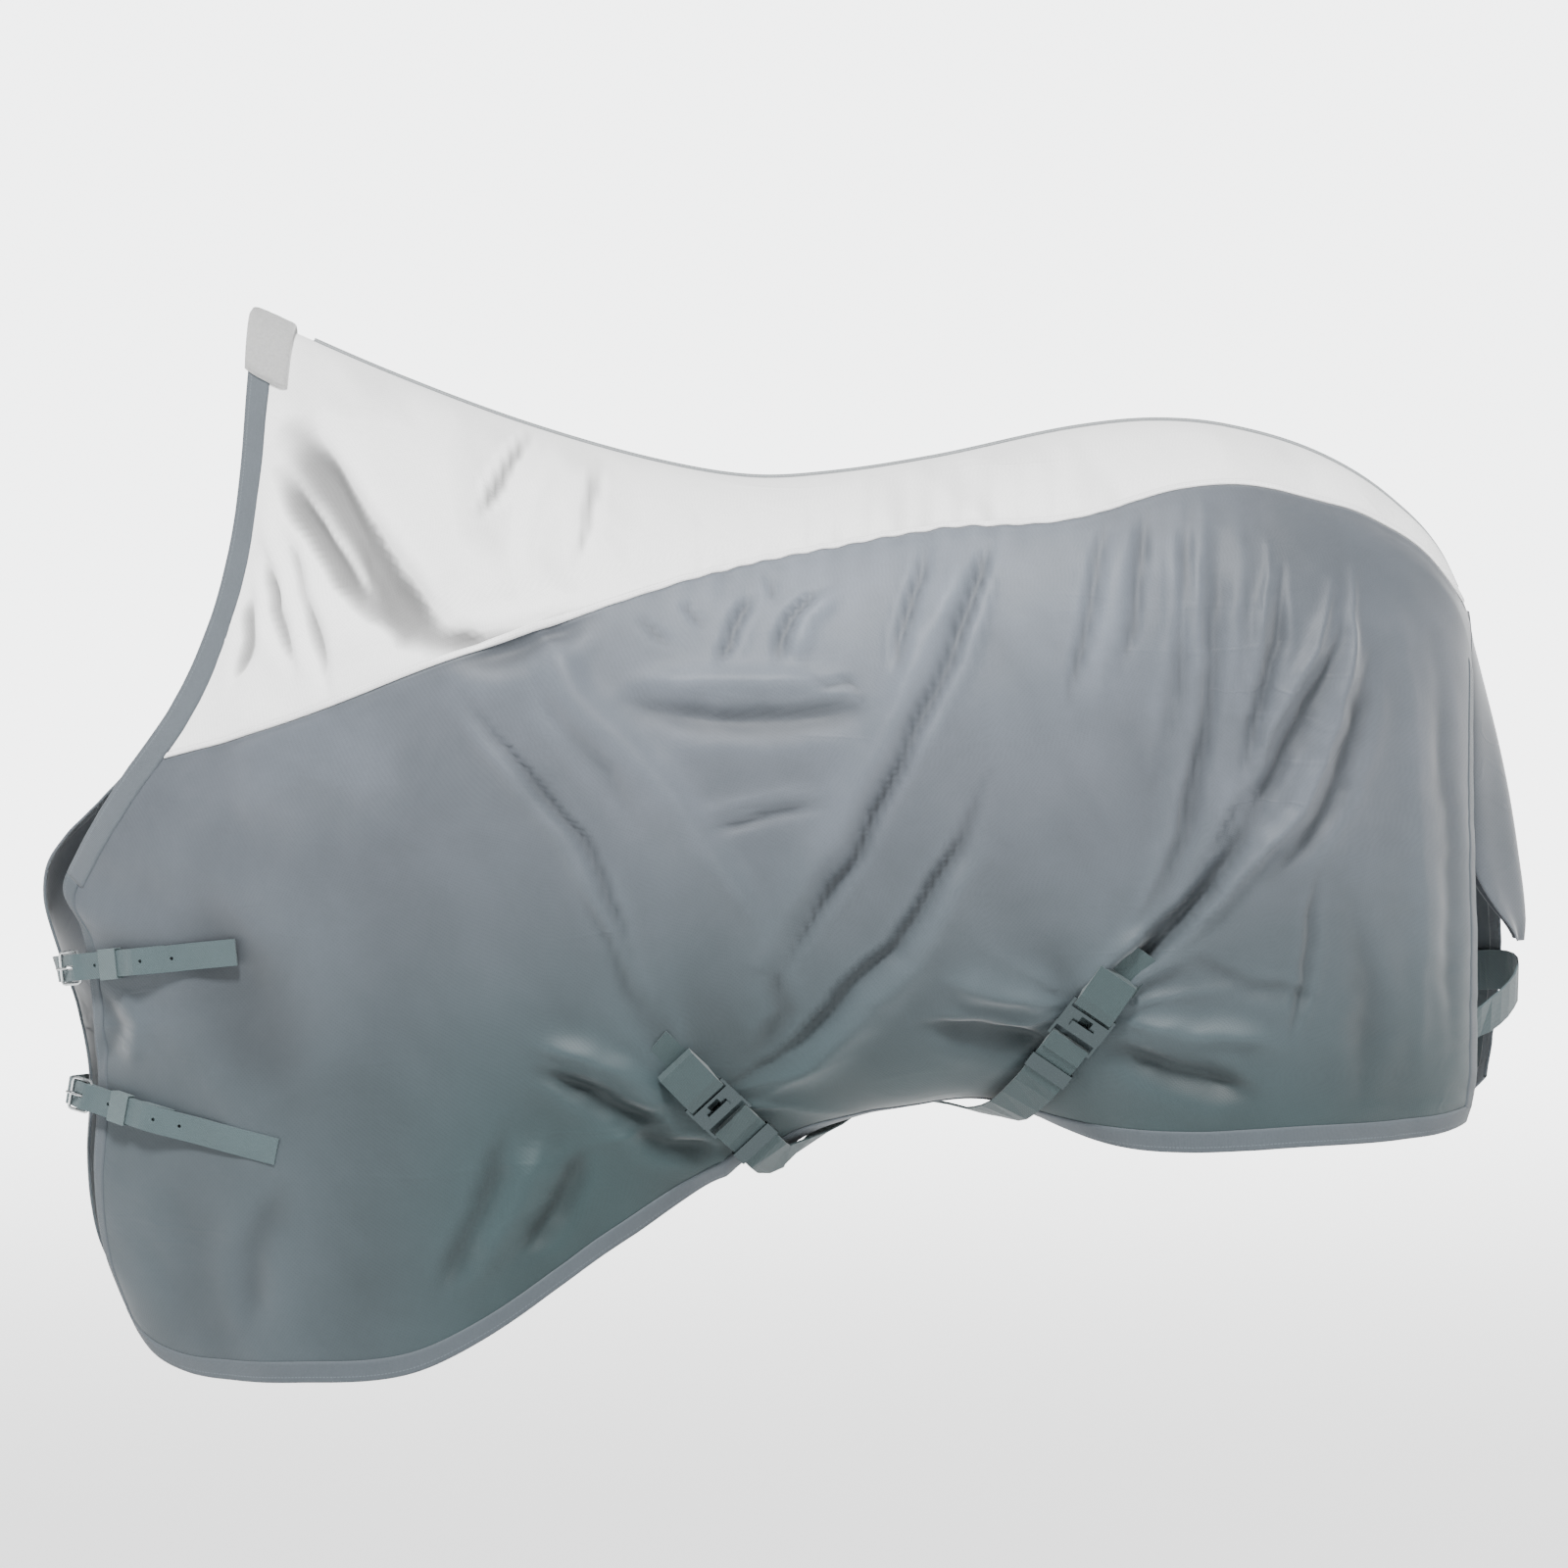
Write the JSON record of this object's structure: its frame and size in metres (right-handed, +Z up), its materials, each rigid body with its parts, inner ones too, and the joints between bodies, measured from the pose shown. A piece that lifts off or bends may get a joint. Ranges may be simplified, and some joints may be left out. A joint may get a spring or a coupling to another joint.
{
  "type": "horse fly sheet",
  "caption": "Mesh fly sheet in the shape it takes on a standing horse, with buckled chest straps, crossed belly surcingles, tail flap and tail strap.",
  "frame": {"origin": "underside of the sheet on its middle line at the lowest point of the back, where it rests on the horse", "axes": "+X from the chest to the tail, +Y to the horse's right (off) side, +Z up"},
  "size_m": [1.6903, 0.6092, 1.2065],
  "materials": {
    "white_mesh": "fine white polyester mesh",
    "grey_mesh": "fine blue-grey polyester mesh",
    "grey_binding": "folded polyester tape, stitched",
    "pad_fleece": "short light-grey fleece",
    "webbing": "woven blue-grey webbing",
    "steel": "nickel-plated steel"
  },
  "bodies": {
    "sheet": {"top_panel_left": "white_mesh", "top_panel_right": "white_mesh", "body_panel_left": "grey_mesh", "body_panel_right": "grey_mesh", "spine_tape": "grey_binding", "crest_pad": "pad_fleece", "neck_binding_left": "grey_binding", "neck_binding_right": "grey_binding", "front_binding_left": "grey_binding", "front_binding_right": "grey_binding", "hem_binding_left": "grey_binding", "hem_binding_right": "grey_binding", "rear_binding_left": "grey_binding", "rear_binding_right": "grey_binding", "tail_strap": "webbing", "chape_upper": "webbing", "chape_lower": "webbing", "buckle_upper": "steel", "buckle_lower": "steel", "strap_upper": "webbing", "strap_lower": "webbing", "strap_patch_upper": "webbing", "strap_patch_lower": "webbing", "surcingle_patch_left_front": "webbing", "surcingle_patch_left_rear": "webbing", "surcingle_patch_right_front": "webbing", "surcingle_patch_right_rear": "webbing", "surcingle_plate_front": "steel", "surcingle_plate_rear": "steel", "surcingle_hook_front": "steel", "surcingle_hook_rear": "steel", "surcingle_strap_front": "webbing", "surcingle_strap_rear": "webbing"},
    "tail_flap": {"tail_flap": "grey_mesh"},
    "tongue_upper": {"tongue_upper": "steel"},
    "tongue_lower": {"tongue_lower": "steel"},
    "keeper_upper": {"keeper_upper": "webbing"},
    "keeper_lower": {"keeper_lower": "webbing"},
    "slider_front": {"surcingle_slider_front": "steel"},
    "slider_rear": {"surcingle_slider_rear": "steel"}
  },
  "joints": [
    {"name": "tail_flap_lift", "type": "hinge", "parent": "sheet", "child": "tail_flap", "pos_m": [0.8077, 0, -0.151], "axis": [0, -1, 0], "range_deg": [0, 80]},
    {"name": "tongue_upper_lift", "type": "hinge", "parent": "sheet", "child": "tongue_upper", "pos_m": [-0.76951, -0.10096, -0.55096], "axis": [-0.105, 0.0453, 0.9934], "range_deg": [0, 8]},
    {"name": "tongue_lower_lift", "type": "hinge", "parent": "sheet", "child": "tongue_lower", "pos_m": [-0.7586, -0.10449, -0.69842], "axis": [0.1817, -0.0909, 0.9791], "range_deg": [0, 8]},
    {"name": "keeper_upper_slide", "type": "slide", "parent": "sheet", "child": "keeper_upper", "axis": [0.7674, -0.6317, 0.1099], "range_m": [-0.014, 0.008]},
    {"name": "keeper_lower_slide", "type": "slide", "parent": "sheet", "child": "keeper_lower", "axis": [0.768, -0.6088, -0.1991], "range_m": [-0.014, 0.008]},
    {"name": "slider_front_slide", "type": "slide", "parent": "sheet", "child": "slider_front", "axis": [-0.6326, -0.4432, 0.6352], "range_m": [-0.005, 0.01]},
    {"name": "slider_rear_slide", "type": "slide", "parent": "sheet", "child": "slider_rear", "axis": [0.561, -0.3251, 0.7613], "range_m": [-0.005, 0.01]}
  ]
}
